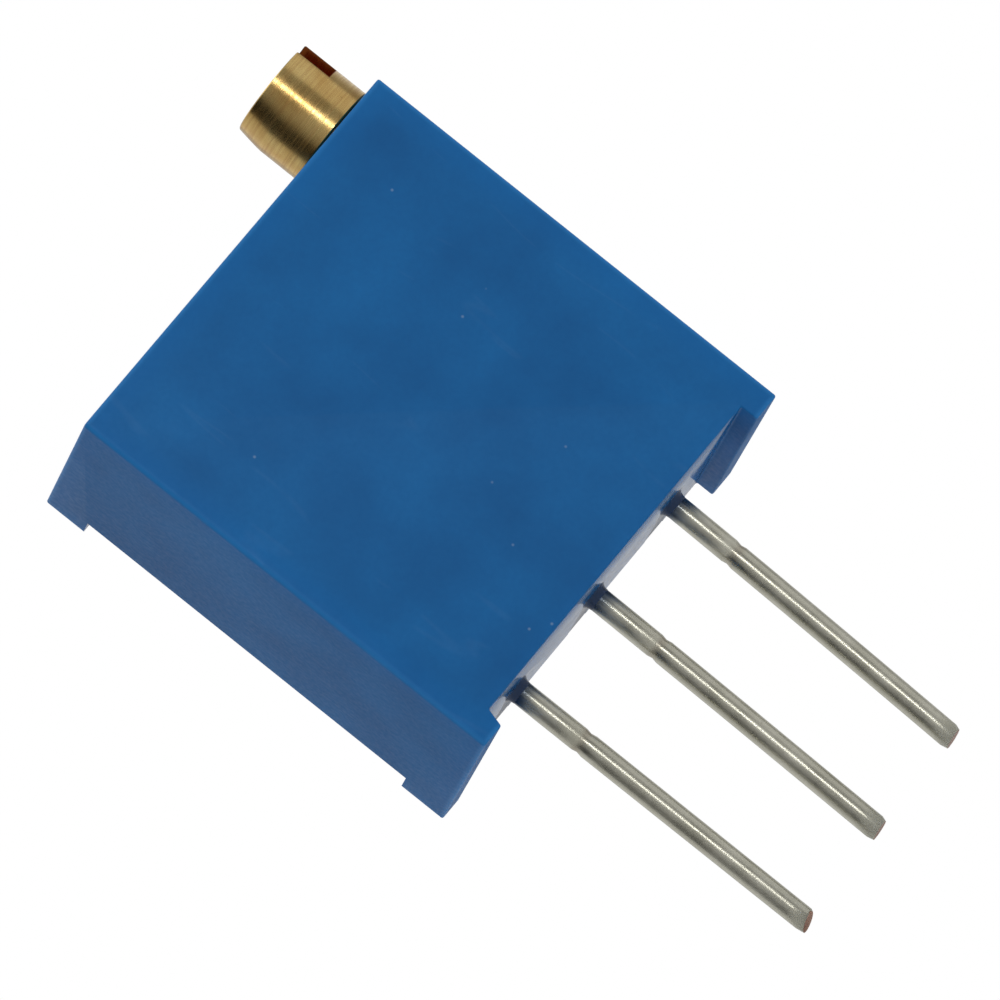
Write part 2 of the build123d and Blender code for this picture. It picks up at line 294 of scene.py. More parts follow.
open_edit(housing, "EDGE")
bpy.ops.object.mode_set(mode="OBJECT")
corners = housing.data.vertices
for edge in housing.data.edges:
    edge.select = along_front_left(*(corners[i].co for i in edge.vertices))
bpy.ops.object.mode_set(mode="EDIT")
bpy.ops.mesh.bevel(offset=soft_edge_radius, segments=5, affect="EDGES")
done(housing)
round_edges(housing, edge_radius, segments=3)
print("outer block:", len(housing.data.polygons), "faces")

# %% Housing: recessed back between four corner pads
cut(
    housing,
    block(
        "level_recess",
        (case_low.x - mm, body_back, bottom_pad_height),
        (case_high.x + mm, case_high.y + mm, case_high.z - top_pad_height),
    ),
    block(
        "upright_recess",
        (case_low.x + pad_width, body_back, case_low.z - mm),
        (case_high.x - pad_width, case_high.y + mm, case_high.z + mm),
    ),
)

# %% Housing: pocket, wheel chamber, worm's window and screw bore
overlap = 0.01 * mm
cut(
    housing,
    block(
        "pocket",
        (case_low.x + side_wall - ledge, plate_low.y, chamber_floor - ledge),
        (case_high.x - side_wall + ledge, body_back + mm, chamber_ceiling + ledge),
    ),
    block(
        "wheel_chamber",
        (case_low.x + side_wall, chamber_front, chamber_floor),
        (block_left, plate_low.y + overlap, chamber_ceiling),
    ),
    block(
        "worm_window",
        (block_left - 0.1 * mm, chamber_front, worm_chamber_floor),
        (screw_axis.x, plate_low.y + overlap, block_bottom),
    ),
    block(
        "solder_room",
        (block_left - 0.1 * mm, -pin_radius - 0.15 * mm, chamber_floor),
        (3.11 * mm, plate_low.y + overlap, worm_chamber_floor + overlap),
    ),
    bar("screw_bore", screw_axis, screw_bore, worm_chamber_floor, case_high.z + mm, sides=96),
    bar("pivot_hole", screw_axis, 0.31 * mm, 1.37 * mm, worm_chamber_floor + overlap, sides=48),
)

# %% Housing: retainer's slot, the pins' notches and the wheel's post
low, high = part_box("screw_retainer")
play = 0.03 * mm
cut(housing, block("retainer_slot", low - Vector((play, play, play)), high + Vector((play, 2 * play, play))))
pin_centres = {}
for name in ("left_pin", "middle_pin", "right_pin"):
    low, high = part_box(name)
    pin_centres[name] = (low.x + high.x) / 2
    notch = block(
        "notch",
        (pin_centres[name] - notch_half, -notch_half, foot_height - 0.2 * mm),
        (pin_centres[name] + notch_half, body_back + mm, chamber_floor + overlap),
    )
    cut(housing, notch)
_, hub_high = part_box("worm_wheel")
deselect_all()
bpy.ops.mesh.primitive_cylinder_add(
    vertices=96,
    radius=0.80 * mm,
    depth=hub_high.y - chamber_front,
    location=(wheel_centre.x, (hub_high.y - 0.05 * mm + chamber_front - 0.05 * mm) / 2, wheel_centre.z),
    rotation=(math.pi / 2, 0, 0),
)
cut(housing, settle(bpy.context.object, "post"), operation="UNION")
tidy(housing)
smooth(housing)
dress(housing, "case", "housing", "housing")
print("pins stand at", {n: round(x / mm, 2) for n, x in pin_centres.items()}, "mm")

# %% [markdown]
# ## Adjustment screw
# The real screw is turned from brass bar, so its shape is one profile spun round an axis. The
# profile is a chain of points, drawn by extruding one point, and the spin operator turns it. The
# slot is milled across the head, which is a cut. The worm is a thread: its section is drawn once
# and the Screw modifier carries it up a helix.

# %% Screw: the turned profile
head_top = screw_high.z
head_base = case_high.z + 0.03 * mm
wear_start = head_top - 0.60 * mm
journal_radius = 0.8598 * mm
neck_radius = 0.50 * mm
core_radius = 0.3365 * mm
pivot_radius = 0.28 * mm
screw_profile = [
    (pivot_radius - 0.04 * mm, screw_low.z),
    (pivot_radius, screw_low.z + 0.04 * mm),
    (pivot_radius, 2.575 * mm),
    (core_radius, 2.575 * mm),
    (core_radius, 7.475 * mm),
    (neck_radius, 7.475 * mm),
    (neck_radius, 7.97 * mm),
    (journal_radius, 7.97 * mm),
    (journal_radius, 8.17 * mm),
    (neck_radius, 8.17 * mm),
    (neck_radius, 8.57 * mm),
    (journal_radius, 8.57 * mm),
    (journal_radius, 9.07 * mm),
    (neck_radius, 9.07 * mm),
    (neck_radius, 9.53 * mm),
    (journal_radius, 9.53 * mm),
    (journal_radius, head_base),
    (head_radius - 0.03 * mm, head_base),
    (head_radius, head_base + 0.03 * mm),
    (head_radius, wear_start),
    (head_radius, wear_start + 0.10 * mm),
    (head_radius, wear_start + 0.25 * mm),
    (head_radius, wear_start + 0.40 * mm),
    (head_radius, head_top - 0.02 * mm),
    (head_radius - 0.02 * mm, head_top),
]


def spun(name, centre, profile, steps=128):
    """A closed body from a chain of (radius, height) points, turned round an upright axis."""
    radius, height = profile[0]
    deselect_all()
    bpy.ops.mesh.primitive_plane_add(size=mm, location=(centre.x + radius, centre.y, height))
    piece = settle(bpy.context.object, name)
    open_edit(piece, "VERT")
    bpy.ops.mesh.select_all(action="SELECT")
    bpy.ops.mesh.merge(type="CENTER")
    for next_radius, next_height in profile[1:]:
        step = (next_radius - radius, 0, next_height - height)
        bpy.ops.mesh.extrude_region_move(TRANSFORM_OT_translate={"value": step})
        radius, height = next_radius, next_height
    bpy.ops.mesh.select_all(action="SELECT")
    bpy.ops.mesh.spin(steps=steps, angle=2 * math.pi, center=centre, axis=(0, 0, 1))
    bpy.ops.mesh.select_all(action="SELECT")
    bpy.ops.mesh.remove_doubles(threshold=0.0005 * mm)
    # the two ends are still open circles
    bpy.ops.mesh.select_all(action="DESELECT")
    bpy.ops.mesh.select_non_manifold()
    bpy.ops.mesh.edge_face_add()
    done(piece)
    return tidy(piece)


screw = spun("brass_screw", screw_axis, screw_profile)
print("turned body:", len(screw.data.polygons), "faces")

# %% Screw: the rim is worn in on one side, where it is dressed after parting off
wear_side = Vector((-0.936, 0.352, 0))
wear_depth = 0.085 * mm
for point in screw.data.vertices:
    out = point.co - screw_axis
    out.z = 0
    if out.length > 0.9 * head_radius and point.co.z > wear_start:
        height = (point.co.z - wear_start) / (head_top - wear_start)
        side = max(0, out.normalized().dot(wear_side)) ** 0.7
        point.co -= out.normalized() * wear_depth * height**1.2 * side

# %% Screw: driver slot across the head
slot_width = 0.56 * mm
slot_depth = 0.80 * mm
slot_angle = -41
slot_cutter = block(
    "driver_slot",
    (-2 * head_radius, -slot_width / 2, head_top - slot_depth),
    (2 * head_radius, slot_width / 2, head_top + mm),
)
slot_cutter.location = screw_axis
slot_cutter.rotation_euler.z = math.radians(slot_angle)
cut(screw, settle(slot_cutter, "driver_slot"))
round_edges(screw, 0.012 * mm, segments=2, angle=50)

# %% Screw: worm thread
module = 0.22677 * mm
axial_pitch = math.pi * module
thread_turns = 5
thread_bottom = wheel_centre.z - axial_pitch * thread_turns / 2
thread_inner = core_radius - 0.06 * mm
thread_outer = 0.62 * mm + module
root_half = 0.2537 * mm
tip_half = 0.0484 * mm

deselect_all()
bpy.ops.mesh.primitive_plane_add(
    size=1, location=((thread_inner + thread_outer) / 2, 0, 0), rotation=(math.pi / 2, 0, 0)
)
thread = bpy.context.object
thread.scale = (thread_outer - thread_inner, 2 * root_half, 1)
settle(thread, "worm_thread")
pick_points(thread, lambda p: p.x > 0.6 * mm)
bpy.ops.transform.resize(value=(1, 1, tip_half / root_half))
done(thread)
apply_modifier(
    thread,
    "SCREW",
    axis="Z",
    angle=2 * math.pi,
    screw_offset=axial_pitch,
    iterations=thread_turns,
    steps=48,
    render_steps=48,
)
thread.location = screw_axis + Vector((0, 0, thread_bottom))
settle(thread, "worm_thread")
open_edit(thread, "VERT")
bpy.ops.mesh.select_non_manifold()
bpy.ops.mesh.edge_face_add()
done(thread)
tidy(thread)

make_active(screw)
thread.select_set(True)
bpy.ops.object.join()
smooth(screw)
dress(screw, "screw", "brass", "adjustment_screw")

# %% [markdown]
# ## Pins
# The real pins are cut from tinned copper wire. Each has a small mark a little way below the
# housing, where the forming tool held it, and a cut end with a narrow burr. The wires of a
# handled part are never quite straight, so each leans by its own small amount. A cylinder is
# sliced into rings with bisect, and the rings are then moved or pinched.

# %% Pins: one wire, shaped by where its rings lie
leans = {"left_pin": 0.00, "middle_pin": -0.11, "right_pin": -0.18}
mark_depths = {"left_pin": 1.72, "middle_pin": 1.68, "right_pin": 1.62}
shears = {"left_pin": 0.16, "middle_pin": 0.05, "right_pin": 0.06}


def slice_at(piece, heights):
    """Cuts a ring of edges round an upright piece at each height."""
    for height in heights:
        open_edit(piece, "VERT")
        bpy.ops.mesh.select_all(action="SELECT")
        bpy.ops.mesh.bisect(plane_co=(0, 0, height), plane_no=(0, 0, 1))
        done(piece)


for name, x in pin_centres.items():
    low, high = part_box(name)
    pin = bar(name.replace("_pin", "_wire"), (x, 0), pin_radius, low.z, tab_height, sides=48)
    mark = foot_height - mark_depths[name] * mm
    slice_at(pin, [mark + k * 0.04 * mm for k in (-3, -2, -1, 0, 1, 2, 3)])
    slice_at(pin, [low.z + shears[name] * mm + k * mm for k in (0.03, 0.10)])
    # the tool's mark is a shallow ring
    for reach, pinch in ((0.10, 0.985), (0.06, 0.97), (0.02, 0.95)):
        pick_points(pin, lambda p: abs(p.z - mark) < reach * mm)
        bpy.ops.transform.resize(value=(pinch, pinch, 1), center_override=(x, 0, mark))
        done(pin)
    # the cutter came in from the front, so the end is a little longer behind
    for point in pin.data.vertices:
        if point.co.z < low.z + 0.01 * mm:
            forward = (0.55 * (point.co.x - x) - 0.83 * point.co.y) / pin_radius
            point.co.z += shears[name] * mm * (1 + forward) / 2
    # the cut end is drawn in a little
    end = low.z + shears[name] * mm
    pick_points(pin, lambda p: p.z < end + 0.01 * mm)
    bpy.ops.transform.resize(value=(0.86, 0.86, 1), center_override=(x, 0, low.z))
    done(pin)
    pick_points(pin, lambda p: end + 0.01 * mm < p.z < end + 0.05 * mm)
    bpy.ops.transform.resize(value=(0.97, 0.97, 1), center_override=(x, 0, low.z))
    done(pin)
    # inside the housing the wire is pressed flat
    tab = block(
        "tab",
        (x - 0.28 * mm, -0.10 * mm, tab_height - 0.02 * mm),
        (x + 0.28 * mm, tab_back, high.z),
    )
    cut(pin, tab, operation="UNION")
    # the lean grows with the distance below the housing
    slices = 14
    slice_at(pin, [low.z + (foot_height - low.z) * k / slices for k in range(1, slices)])
    if leans[name]:
        for point in pin.data.vertices:
            below = max(0, foot_height - point.co.z) / (foot_height - low.z)
            point.co.x += leans[name] * mm * below**1.3
    tidy(pin)
    smooth(pin)
    dress(pin, "case", "tinned_wire", name)

# %% [markdown]
# ## Epoxy
# The back is closed with epoxy, poured level and cured. It wets the walls, so its surface rises
# a little at its edges, and it fills the three notches round the pins. A grid of faces lets the
# rim be lifted and the middle left a little uneven.

# %% Epoxy: the poured block with its raised rim
rim_rise = 0.05 * mm
pour = block(
    "potted_back",
    (epoxy_low.x, plate_high.y, chamber_floor - ledge),
    epoxy_high + Vector((0, rim_rise, 0)),
)
pick_faces(pour, lambda c, n: n.y > 0.9)
for width, drop in ((0.04, 0.030), (0.07, 0.022), (0.12, 0.014), (0.30, 0.008)):
    bpy.ops.mesh.inset(thickness=width * mm)
    bpy.ops.transform.translate(value=(0, -drop * mm, 0))
done(pour)
for x in pin_centres.values():
    fill = block(
        "notch_fill",
        (x - notch_half, -notch_half, foot_height),
        (x + notch_half, epoxy_high.y - 0.03 * mm, chamber_floor + overlap),
    )
    cut(pour, fill, operation="UNION")
for x in pin_centres.values():
    cut(pour, bar("wire_hole", (x, 0), pin_radius, foot_height - mm, chamber_floor + mm, sides=48))
tidy(pour)

# %% Epoxy: the fillet that creeps down each wire
fillet_profile = [(0.330, 0.40), (0.305, 0.38), (0.282, 0.345), (0.266, 0.30), (0.258, 0.24), (0.250, 0.22), (0.250, 0.40)]
for x in pin_centres.values():
    ring = spun("fillet", Vector((x, 0, 0)), [(r * mm, z * mm) for r, z in fillet_profile + fillet_profile[:1]], steps=48)
    make_active(pour)
    ring.select_set(True)
    bpy.ops.object.join()
smooth(pour)
dress(pour, "case", "epoxy", "epoxy_seal")

# %% [markdown]
# ## Finishes
# Every finish is made of nodes that read Object coordinates, which are metres on the real part,
# so a scale of 1000 gives marks about 1 mm across. What several finishes share, such as grain,
# specks, fine scratches and drawn lines, is a node group. It is built once here and gets its own
# values in each finish.


# %% Building node trees
def colour(red, green, blue):
    """A colour given as 0 to 255 values on a screen, made linear for the shader."""
    return tuple((c / 255 / 12.92) if c < 11 else ((c / 255 + 0.055) / 1.055) ** 2.4 for c in (red, green, blue)) + (1,)


class Tree:
    """Adds nodes from left to right and links them by socket name."""

    def __init__(self, tree):
        self.tree = tree

    def node(self, kind, inputs=None, **settings):
        node = self.tree.nodes.new(kind)
        node.location = (220 * len(self.tree.nodes), 0)
        for key, value in settings.items():
            setattr(node, key, value)
        for key, value in (inputs or {}).items():
            self.put(value, node.inputs[key])
        return node

    def put(self, value, socket):
        if isinstance(value, bpy.types.NodeSocket):
            self.tree.links.new(value, socket)
        else:
            socket.default_value = value

    def math(self, operation, a, b=0.0, clamp=False):
        node = self.node("ShaderNodeMath", operation=operation, use_clamp=clamp)
        self.put(a, node.inputs[0])
        self.put(b, node.inputs[1])
        return node.outputs[0]

    def span(self, value, low, high, to_low=0.0, to_high=1.0, smooth_step=True):
        """Maps low..high to to_low..to_high."""
        node = self.node("ShaderNodeMapRange", interpolation_type="SMOOTHSTEP" if smooth_step else "LINEAR")
        for name, item in (("Value", value), ("From Min", low), ("From Max", high), ("To Min", to_low), ("To Max", to_high)):
            self.put(item, node.inputs[name])
        return node.outputs["Result"]

    def mix(self, amount, a, b, blend="MIX"):
        node = self.node("ShaderNodeMix", data_type="RGBA", blend_type=blend)
        self.put(amount, node.inputs[0])
        self.put(a, node.inputs[6])
        self.put(b, node.inputs[7])
        return node.outputs[2]

    def place(self):
        return self.node("ShaderNodeTexCoord").outputs["Object"]

    def group(self, shared, **inputs):
        node = self.node("ShaderNodeGroup", node_tree=shared)
        for key, value in inputs.items():
            self.put(value, node.inputs[key])
        return node.outputs


def new_group(name, inputs, outputs):
    """An empty node group with named sockets: inputs is {name: (kind, default)}."""
    shared = bpy.data.node_groups.new(name, "ShaderNodeTree")
    for key, (kind, default) in inputs.items():
        socket = shared.interface.new_socket(key, in_out="INPUT", socket_type=kind)
        socket.default_value = default
    for key in outputs:
        shared.interface.new_socket(key, in_out="OUTPUT", socket_type="NodeSocketFloat")
    tree = Tree(shared)
    return shared, tree, tree.node("NodeGroupInput").outputs, tree.node("NodeGroupOutput").inputs


number = "NodeSocketFloat"
vector = "NodeSocketVector"


# %% Shared effect: grain
grain, t, given, out = new_group(
    "grain", {"Scale": (number, 1000.0), "Detail": (number, 4.0), "Contrast": (number, 1.0)}, ["Mask"]
)
noise = t.node("ShaderNodeTexNoise", {"Vector": t.place(), "Scale": given["Scale"], "Detail": given["Detail"]})
centred = t.math("MULTIPLY", t.math("SUBTRACT", noise.outputs["Fac"], 0.5), given["Contrast"])
t.put(t.math("ADD", centred, 0.5, clamp=True), out["Mask"])

# %% Shared effect: specks of dust or pits
specks, t, given, out = new_group(
    "specks", {"Scale": (number, 2000.0), "Share": (number, 0.1), "Size": (number, 0.12)}, ["Mask"]
)
cells = t.node("ShaderNodeTexVoronoi", {"Vector": t.place(), "Scale": given["Scale"]})
chosen = t.math("LESS_THAN", t.node("ShaderNodeSeparateColor", {"Color": cells.outputs["Color"]}).outputs[0], given["Share"])
spot = t.math("SUBTRACT", 1.0, t.span(cells.outputs["Distance"], 0.0, given["Size"]))
t.put(t.math("MULTIPLY", spot, chosen), out["Mask"])

# %% Shared effect: lines drawn along one direction
drawn_lines, t, given, out = new_group(
    "drawn_lines", {"Stretch": (vector, (1.0, 1.0, 0.02)), "Scale": (number, 20000.0)}, ["Mask"]
)
stretched = t.node("ShaderNodeVectorMath", operation="MULTIPLY")
t.put(t.place(), stretched.inputs[0])
t.put(given["Stretch"], stretched.inputs[1])
noise = t.node("ShaderNodeTexNoise", {"Vector": stretched.outputs[0], "Scale": given["Scale"], "Detail": 3.0})
t.put(t.span(noise.outputs["Fac"], 0.3, 0.7), out["Mask"])

# %% Shared effect: fine scratches
scratches, t, given, out = new_group(
    "scratches", {"Turn": (vector, (0.0, 0.0, 0.0)), "Scale": (number, 600.0), "Width": (number, 0.02), "Share": (number, 0.4)}, ["Mask"]
)
turned = t.node("ShaderNodeMapping", {"Vector": t.place(), "Rotation": given["Turn"], "Scale": (1.0, 1.0, 0.12)})
bent = t.node("ShaderNodeTexNoise", {"Vector": turned.outputs[0], "Scale": given["Scale"], "Detail": 2.0})
line = t.math("ABSOLUTE", t.math("SUBTRACT", bent.outputs["Fac"], 0.5))
thin = t.math("SUBTRACT", 1.0, t.span(line, 0.0, given["Width"]))
where = t.node("ShaderNodeTexNoise", {"Vector": t.place(), "Scale": 900.0, "Detail": 1.0})
kept = t.span(where.outputs["Fac"], t.math("SUBTRACT", 1.0, given["Share"]), t.math("SUBTRACT", 1.1, given["Share"]))
t.put(t.math("MULTIPLY", thin, kept), out["Mask"])

# %% Shared effect: the edges of a box
box_edges, t, given, out = new_group(
    "box_edges", {"Low": (vector, (0.0, 0.0, 0.0)), "High": (vector, (1.0, 1.0, 1.0)), "Width": (number, 0.0002)}, ["Mask", "Width_Mask"]
)
place = t.place()
down = t.node("ShaderNodeVectorMath", operation="SUBTRACT")
t.put(place, down.inputs[0])
t.put(given["Low"], down.inputs[1])
up = t.node("ShaderNodeVectorMath", operation="SUBTRACT")
t.put(given["High"], up.inputs[0])
t.put(place, up.inputs[1])
nearest = t.node("ShaderNodeVectorMath", operation="MINIMUM")
t.put(down.outputs[0], nearest.inputs[0])
t.put(up.outputs[0], nearest.inputs[1])
x, y, z = t.node("ShaderNodeSeparateXYZ", {"Vector": nearest.outputs[0]}).outputs
least = t.math("MINIMUM", x, t.math("MINIMUM", y, z))
most = t.math("MAXIMUM", x, t.math("MAXIMUM", y, z))
total = t.math("ADD", x, t.math("ADD", y, z))
# on a face the least distance is nought, so the middle one tells how far the edge is
middle = t.math("SUBTRACT", t.math("SUBTRACT", total, least), most)
t.put(t.math("SUBTRACT", 1.0, t.span(middle, 0.0, given["Width"])), out["Mask"])
t.put(t.math("SUBTRACT", 1.0, t.span(middle, 0.0, t.math("MULTIPLY", given["Width"], 6.0))), out["Width_Mask"])
print("shared effects:", [g.name for g in (grain, specks, drawn_lines, scratches, box_edges)])


# %% Starting a finish
def finish(name, metallic, ior=1.5, specular=0.5, coat=0.0):
    """A material with a Principled shader whose even values are set on its own sockets."""
    material = bpy.data.materials.new(name)
    material.use_nodes = True
    nodes = material.node_tree.nodes
    nodes.clear()
    tree = Tree(material.node_tree)
    shader = tree.node("ShaderNodeBsdfPrincipled", {"Metallic": metallic, "IOR": ior, "Specular IOR Level": specular, "Coat Weight": coat})
    tree.node("ShaderNodeOutputMaterial", {"Surface": shader.outputs["BSDF"]})
    return material, tree, shader.inputs


def bump(tree, height, distance, strength=1.0):
    """Turns a height mask into a normal. The distance is in metres."""
    node = tree.node("ShaderNodeBump", {"Height": height, "Distance": distance, "Strength": strength})
    return node.outputs["Normal"]


# %% [markdown]
# ### Blue moulded plastic
# The housing is a filled blue thermoplastic with a fine satin surface. The mould's rounded edges
# are a little more polished, and a painted highlight makes their colour paler where they catch the light.
# The faces are faintly cloudy where the filler gathered, and handling has left a few hairline scratches and pale
# specks.

# %% Finish of the housing
housing_finish, t, shader = finish("blue_moulding", 0.0, specular=0.22)
cloud = t.group(grain, Scale=430.0, Detail=4.0, Contrast=2.6)["Mask"]
fine = t.group(grain, Scale=9000.0, Detail=5.0, Contrast=1.6)["Mask"]
edge = t.group(box_edges, Low=tuple(case_low), High=tuple(case_high), Width=0.00013)
dust = t.group(specks, Scale=2600.0, Share=0.05, Size=0.12)["Mask"]
hairlines = t.group(scratches, Turn=(0.4, 0.5, 0.3), Scale=700.0, Width=0.012, Share=0.50)["Mask"]
base = t.mix(cloud, colour(10, 94, 158), colour(18, 110, 178))
base = t.mix(t.math("MULTIPLY", fine, 0.22), base, colour(12, 84, 146))
# painted highlight: the colour is made paler near the box's edges, where the rounded edges catch the light
base = t.mix(t.math("MULTIPLY", edge["Width_Mask"], 0.30), base, colour(4, 112, 190))
base = t.mix(t.math("MULTIPLY", edge["Mask"], 0.60), base, colour(52, 140, 212))
base = t.mix(t.math("MULTIPLY", dust, 0.55), base, colour(150, 175, 200))
base = t.mix(t.math("MULTIPLY", hairlines, 0.035), base, colour(120, 160, 200))
t.put(base, shader["Base Color"])
rough = t.math("SUBTRACT", t.span(fine, 0.0, 1.0, 0.42, 0.56), t.math("MULTIPLY", edge["Mask"], 0.08))
# the underside between the feet is where the mould was polished
facing = t.node("ShaderNodeSeparateXYZ", {"Vector": t.node("ShaderNodeTexCoord").outputs["Normal"]}).outputs["Z"]
height = t.node("ShaderNodeSeparateXYZ", {"Vector": t.place()}).outputs["Z"]
under = t.math("MULTIPLY", t.math("LESS_THAN", facing, -0.9), t.math("GREATER_THAN", height, 0.5 * foot_height))
t.put(t.math("SUBTRACT", rough, t.math("MULTIPLY", under, 0.36)), shader["Roughness"])
relief = t.math("SUBTRACT", fine, t.math("MULTIPLY", hairlines, 0.4))
t.put(bump(t, t.math("MULTIPLY", relief, t.math("SUBTRACT", 1.0, under)), 0.000003), shader["Normal"])

# %% [markdown]
# ### Turned brass
# The lathe leaves fine rings round the screw, so its roughness and height change quickly along
# the axis and hardly at all round it. Handling dulls it in patches.

# %% Finish of the screw
brass_finish, t, shader = finish("turned_brass", 1.0)
rings = t.group(drawn_lines, Stretch=(0.02, 0.02, 1.0), Scale=26000.0)["Mask"]
coarse_rings = t.group(drawn_lines, Stretch=(0.03, 0.03, 1.0), Scale=7000.0)["Mask"]
tarnish = t.group(grain, Scale=1500.0, Detail=5.0, Contrast=2.2)["Mask"]
pits = t.group(specks, Scale=7000.0, Share=0.06, Size=0.22)["Mask"]
base = t.mix(tarnish, colour(196, 158, 92), colour(224, 198, 132))
base = t.mix(t.math("MULTIPLY", rings, 0.34), base, colour(158, 104, 56))
base = t.mix(t.math("MULTIPLY", pits, 0.4), base, colour(120, 84, 40))
# inside the slot the brass is given a darker, redder brown colour
across = t.node(
    "ShaderNodeMapping",
    {"Vector": t.place(), "Location": tuple(screw_axis), "Rotation": (0, 0, math.radians(slot_angle))},
    vector_type="TEXTURE",
)
off_centre = t.math("ABSOLUTE", t.node("ShaderNodeSeparateXYZ", {"Vector": across.outputs[0]}).outputs["Y"])
height = t.node("ShaderNodeSeparateXYZ", {"Vector": t.place()}).outputs["Z"]
in_slot = t.math(
    "MULTIPLY",
    t.math("LESS_THAN", off_centre, slot_width / 2 + 0.004 * mm),
    t.math("GREATER_THAN", height, head_top - slot_depth - 0.01 * mm),
)
base = t.mix(t.math("MULTIPLY", in_slot, 0.9), base, colour(138, 58, 14))
t.put(base, shader["Base Color"])
t.put(t.span(t.math("ADD", t.math("MULTIPLY", rings, 0.6), t.math("MULTIPLY", tarnish, 0.4)), 0.0, 1.0, 0.17, 0.28), shader["Roughness"])
relief = t.math("ADD", t.math("MULTIPLY", rings, 0.6), coarse_rings)
t.put(bump(t, relief, 0.0000007), shader["Normal"])

# %% [markdown]
# ### Tinned wire
# The wires were drawn through a die, which leaves lines along them, and then plated with tin,
# which is a little mottled. The cut ends show the copper inside.

# %% Finish of the pins
wire_finish, t, shader = finish("tinned_wire", 1.0)
draw_lines = t.group(drawn_lines, Stretch=(1.0, 1.0, 0.02), Scale=22000.0)["Mask"]
mottle = t.group(grain, Scale=1800.0, Detail=2.0, Contrast=1.6)["Mask"]
nicks = t.group(specks, Scale=5200.0, Share=0.08, Size=0.18)["Mask"]
base = t.mix(mottle, colour(186, 184, 168), colour(212, 210, 196))
base = t.mix(t.math("MULTIPLY", draw_lines, 0.12), base, colour(134, 131, 116))
base = t.mix(t.math("MULTIPLY", nicks, 0.4), base, colour(120, 112, 96))
# the forming tool rubbed a ring of tin dull, this far below the feet
rubbed_ring = 1.27
height = t.node("ShaderNodeSeparateXYZ", {"Vector": t.place()}).outputs["Z"]
from_mark = t.math("ABSOLUTE", t.math("ADD", height, rubbed_ring * mm))
rubbed = t.math("SUBTRACT", 1.0, t.span(from_mark, 0.02 * mm, 0.16 * mm))
base = t.mix(t.math("MULTIPLY", t.math("MULTIPLY", rubbed, mottle), 0.7), base, colour(128, 108, 88))
facing = t.node("ShaderNodeSeparateXYZ", {"Vector": t.node("ShaderNodeTexCoord").outputs["Normal"]}).outputs["Z"]
cut_end = t.math("MULTIPLY", t.math("LESS_THAN", facing, -0.75), 0.85)
base = t.mix(cut_end, base, colour(176, 104, 56))
# painted shade and a painted blue reflection of the housing darken the wire where it leaves the housing
painted_root_shade_and_reflection = t.math("ADD", height, t.math("MULTIPLY", t.math("SUBTRACT", mottle, 0.5), 0.0002))
base = t.mix(t.span(painted_root_shade_and_reflection, -0.15 * mm, 0.30 * mm, 0.0, 0.88), base, colour(30, 62, 92))
t.put(base, shader["Base Color"])
worn = t.math("ADD", t.math("MULTIPLY", draw_lines, 0.2), t.math("MULTIPLY", mottle, 0.8))
t.put(t.span(worn, 0.0, 1.0, 0.24, 0.34), shader["Roughness"])
t.put(bump(t, t.math("ADD", t.math("MULTIPLY", draw_lines, 0.04), mottle), 0.0000006), shader["Normal"])

# %% [markdown]
# ### Cast epoxy
# The epoxy is dark blue and cured glossy. It has shallow waves, a few trapped bubbles and dust.

# %% Finish of the epoxy
epoxy_finish, t, shader = finish("cast_epoxy", 0.0, specular=0.40)
waves = t.group(grain, Scale=420.0, Detail=1.5, Contrast=1.5)["Mask"]
bubbles = t.group(specks, Scale=1700.0, Share=0.10, Size=0.14)["Mask"]
dust = t.group(specks, Scale=4200.0, Share=0.05, Size=0.12)["Mask"]
base = t.mix(waves, colour(12, 46, 82), colour(18, 56, 96))
base = t.mix(t.math("MULTIPLY", dust, 0.5), base, colour(120, 135, 150))
t.put(base, shader["Base Color"])
t.put(t.span(waves, 0.2, 0.8, 0.16, 0.30), shader["Roughness"])
t.put(bump(t, t.math("SUBTRACT", waves, t.math("MULTIPLY", bubbles, 0.25)), 0.00003), shader["Normal"])


# %% [markdown]
# ### Inner pieces
# The sealed pieces are seen only when the housing is taken away, but each still gets its own
# finish: fired ceramic with printed inks, natural moulded plastic, rolled spring strip, black
# rubber, blanked steel and bright solder.


# %% A finish of grain between two colours
def grained(name, dark, light, rough, scale, metallic=0.0, lines=None, height=0.000003, spots=None):
    """Grain or drawn lines between two colours, with optional spots of a third."""
    material, t, shader = finish(name, metallic)
    if lines:
        pattern = t.group(drawn_lines, Stretch=lines, Scale=scale)["Mask"]
    else:
        pattern = t.group(grain, Scale=scale, Detail=5.0, Contrast=1.8)["Mask"]
    base = t.mix(pattern, colour(*dark), colour(*light))
    if spots:
        mask = t.group(specks, Scale=scale * 0.4, Share=0.12, Size=0.15)["Mask"]
        base = t.mix(t.math("MULTIPLY", mask, 0.6), base, colour(*spots))
    t.put(base, shader["Base Color"])
    t.put(t.span(pattern, 0.0, 1.0, *rough), shader["Roughness"])
    t.put(bump(t, pattern, height), shader["Normal"])
    return material


